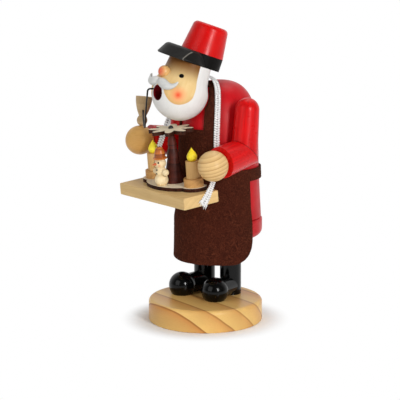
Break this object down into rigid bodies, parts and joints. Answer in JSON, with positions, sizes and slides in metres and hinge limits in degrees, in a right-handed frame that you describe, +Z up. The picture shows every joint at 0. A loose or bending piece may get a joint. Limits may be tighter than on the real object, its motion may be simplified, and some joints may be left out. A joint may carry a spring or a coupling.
{
  "type": "incense smoker",
  "caption": "Turned wooden smoking figure of a hunched toy seller with pipe, felt apron and vendor's tray; the hollow coat lifts off its legs to take an incense cone.",
  "frame": {"origin": "middle of the base's underside", "axes": "+Z up, the figure faces -Y, its left hand is at +X"},
  "size_m": [0.0952, 0.0831, 0.1909],
  "materials": {
    "pine": "satin, varnished, visible grain",
    "black_lacquer": "gloss lacquer",
    "red_lacquer": "satin lacquer",
    "skin": "satin, painted face, white beard and hair",
    "white_paint": "matt paint",
    "nose_wood": "satin, red tip",
    "pipe_wood": "satin stain",
    "lime_wood": "satin, fine grain",
    "plywood": "matt, laser-burnt edges",
    "candle_wood": "satin stain",
    "holder_wood": "satin stain",
    "flame_paint": "gloss paint",
    "fir_stain": "satin stain",
    "snow_wood": "satin, painted buttons and face",
    "hat_stain": "satin stain",
    "carrot_paint": "gloss paint",
    "dowel_wood": "raw",
    "felt": "thick wool felt",
    "braid": "flat white braid with a silver thread",
    "plate_metal": "pressed sheet",
    "nail_steel": "bright",
    "black_wire": "blackened"
  },
  "bodies": {
    "stand": {"base_disc": "pine", "left_leg": "black_lacquer", "right_leg": "black_lacquer", "left_shoe": "black_lacquer", "right_shoe": "black_lacquer", "coat_hem": "red_lacquer", "incense_plate": "plate_metal", "plate_nail": "nail_steel"},
    "figure": {"left_hand": "pine", "right_hand": "pine", "hat_band": "black_lacquer", "hat_visor": "black_lacquer", "coat_body": "red_lacquer", "left_upper_arm": "red_lacquer", "right_upper_arm": "red_lacquer", "left_forearm": "red_lacquer", "right_forearm": "red_lacquer", "hat_crown": "red_lacquer", "head": "skin", "moustache": "white_paint", "nose": "nose_wood", "pipe_bowl": "pipe_wood", "pipe_stem": "black_wire", "tray_board": "lime_wood", "tray_strap": "braid", "pyramid_plate": "plywood", "left_candle": "candle_wood", "right_candle": "candle_wood", "left_candle_holder": "holder_wood", "right_candle_holder": "holder_wood", "left_flame": "flame_paint", "right_flame": "flame_paint", "fir_tree": "fir_stain", "rotor_pin": "black_wire", "snowman_body": "snow_wood", "snowman_arms": "snow_wood", "snowman_hat": "hat_stain", "snowman_nose": "carrot_paint", "apron": "felt", "apron_tie": "felt", "shoulder_dowels": "dowel_wood", "wrist_dowels": "dowel_wood", "head_dowel": "dowel_wood", "hat_dowel": "dowel_wood", "tray_dowels": "dowel_wood"},
    "rotor": {"rotor": "plywood"}
  },
  "joints": [
    {"name": "figure_lift", "type": "slide", "parent": "stand", "child": "figure", "axis": [0, 0, 1], "range_m": [0, 0.06]},
    {"name": "rotor_spin", "type": "hinge", "parent": "figure", "child": "rotor", "pos_m": [-0.0077, -0.02138, 0.12377], "axis": [0, -0.0854, 0.9963], "continuous": true}
  ]
}
